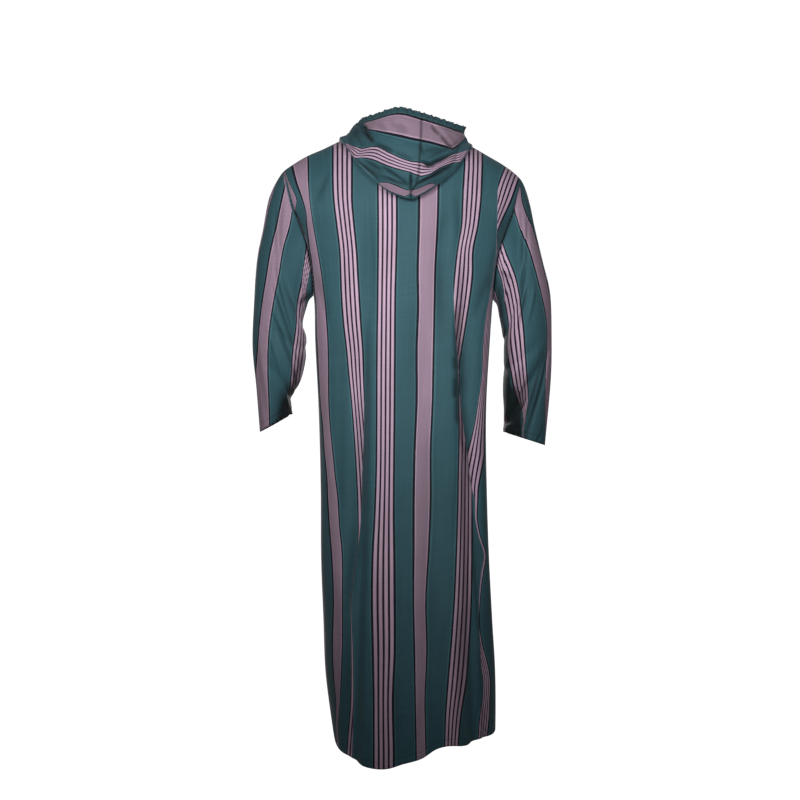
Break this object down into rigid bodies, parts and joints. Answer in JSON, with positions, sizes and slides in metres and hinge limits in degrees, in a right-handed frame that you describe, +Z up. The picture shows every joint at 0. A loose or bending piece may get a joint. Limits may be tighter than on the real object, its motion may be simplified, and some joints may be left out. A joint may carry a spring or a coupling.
{
  "type": "hooded robe",
  "caption": "Long hooded robe of striped cloth with long sleeves, a V neck and a gathered hood edge, hollow as worn with its hood down on the back.",
  "frame": {"origin": "between the shoulders at the level of the neck seam, in the plane of the shoulder seams, where the wearer holds the robe up", "axes": "+Z up towards the neck, -Y the way the wearer faces, so the back of the robe is towards +Y and +X is the wearer's left"},
  "size_m": [0.6912, 0.3254, 1.4642],
  "materials": {
    "striped_cloth": "smooth plain weave with a slight sheen, green with mauve stripes",
    "edging_cloth": "the same cloth, plain green and gathered"
  },
  "bodies": {
    "root": {"back_panel": "striped_cloth", "front_panel": "striped_cloth", "sleeve_left": "striped_cloth", "sleeve_right": "striped_cloth", "hood_left": "striped_cloth", "hood_right": "striped_cloth", "hood_edging": "edging_cloth"}
  },
  "joints": []
}
